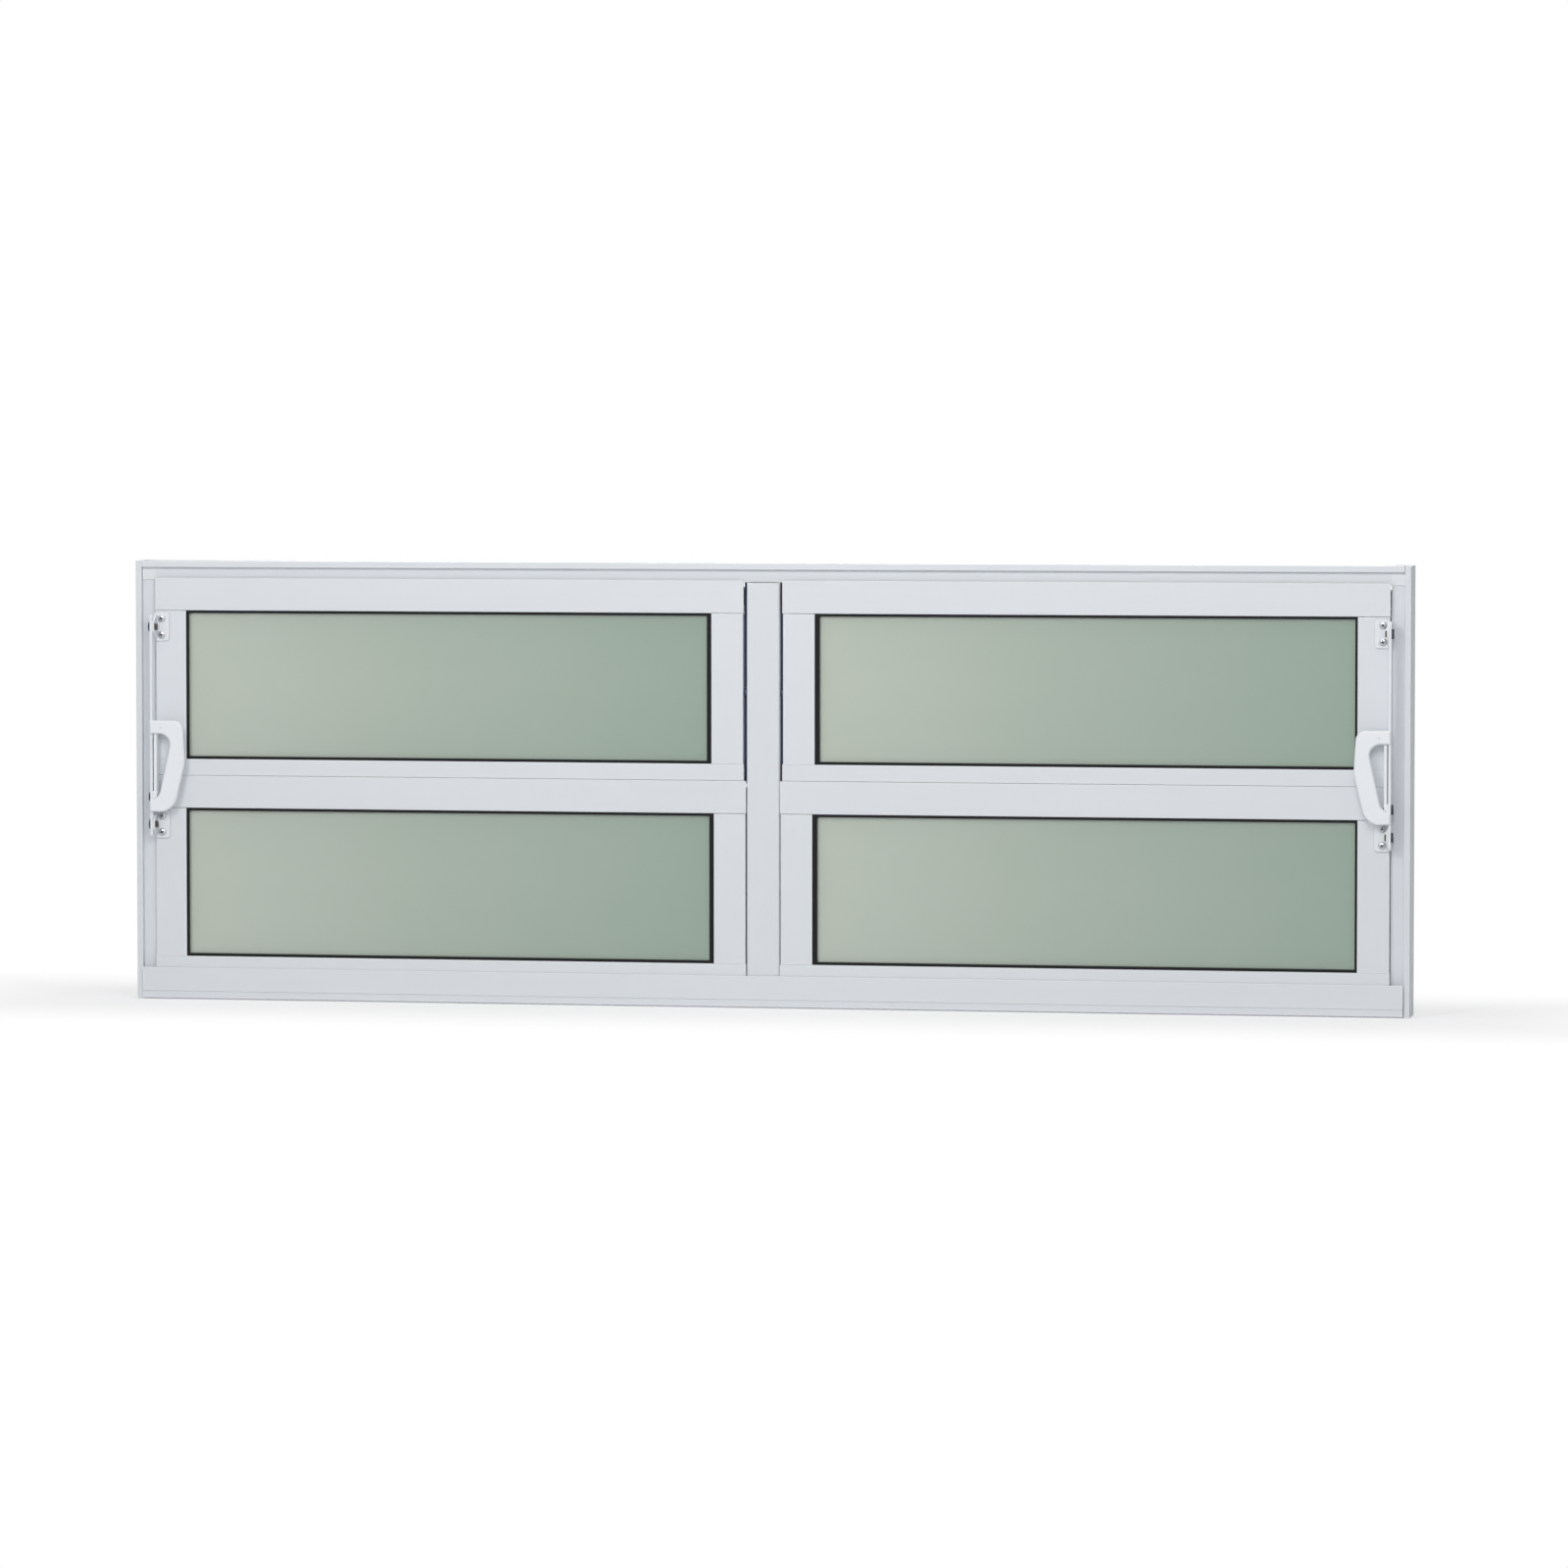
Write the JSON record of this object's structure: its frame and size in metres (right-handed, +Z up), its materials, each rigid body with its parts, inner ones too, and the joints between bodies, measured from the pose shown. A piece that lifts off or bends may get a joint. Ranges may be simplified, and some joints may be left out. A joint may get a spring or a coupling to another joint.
{
  "type": "pivot window",
  "caption": "White aluminium pivot window with tinted tilting leaves stacked on each side of a central mullion, each side linked and opened by a lever bar with a D handle.",
  "frame": {"origin": "centre of the sill underside: middle of the width and of the frame depth", "axes": "+X to the right as seen from indoors, +Y towards outdoors, +Z up; the levers are on the -Y side"},
  "size_m": [1.2, 0.0505, 0.412],
  "materials": {
    "frame": "white powder coat, satin",
    "leaf": "white powder coat, satin",
    "hardware": "white coat, satin",
    "pin": "dull zinc",
    "pivot": "black nylon",
    "gasket": "black, matt",
    "glass": "tinted green-grey, clear"
  },
  "bodies": {
    "root": {"head": "frame", "left_jamb": "frame", "left_lever_bar": "hardware", "left_lever_handle": "hardware", "left_lever_pins": "pin", "lower_left_bottom_rail": "leaf", "lower_left_bracket": "hardware", "lower_left_gasket": "gasket", "lower_left_glass": "glass", "lower_left_inner_stile": "leaf", "lower_left_outer_stile": "leaf", "lower_left_pivots": "pivot", "lower_left_top_rail": "leaf", "lower_right_bottom_rail": "leaf", "lower_right_bracket": "hardware", "lower_right_gasket": "gasket", "lower_right_glass": "glass", "lower_right_inner_stile": "leaf", "lower_right_outer_stile": "leaf", "lower_right_pivots": "pivot", "lower_right_top_rail": "leaf", "mullion": "frame", "right_jamb": "frame", "right_lever_bar": "hardware", "right_lever_handle": "hardware", "right_lever_pins": "pin", "sill": "frame", "upper_left_bottom_rail": "leaf", "upper_left_bracket": "hardware", "upper_left_gasket": "gasket", "upper_left_glass": "glass", "upper_left_inner_stile": "leaf", "upper_left_outer_stile": "leaf", "upper_left_pivots": "pivot", "upper_left_top_rail": "leaf", "upper_right_bottom_rail": "leaf", "upper_right_bracket": "hardware", "upper_right_gasket": "gasket", "upper_right_glass": "glass", "upper_right_inner_stile": "leaf", "upper_right_outer_stile": "leaf", "upper_right_pivots": "pivot", "upper_right_top_rail": "leaf"}
  },
  "joints": []
}
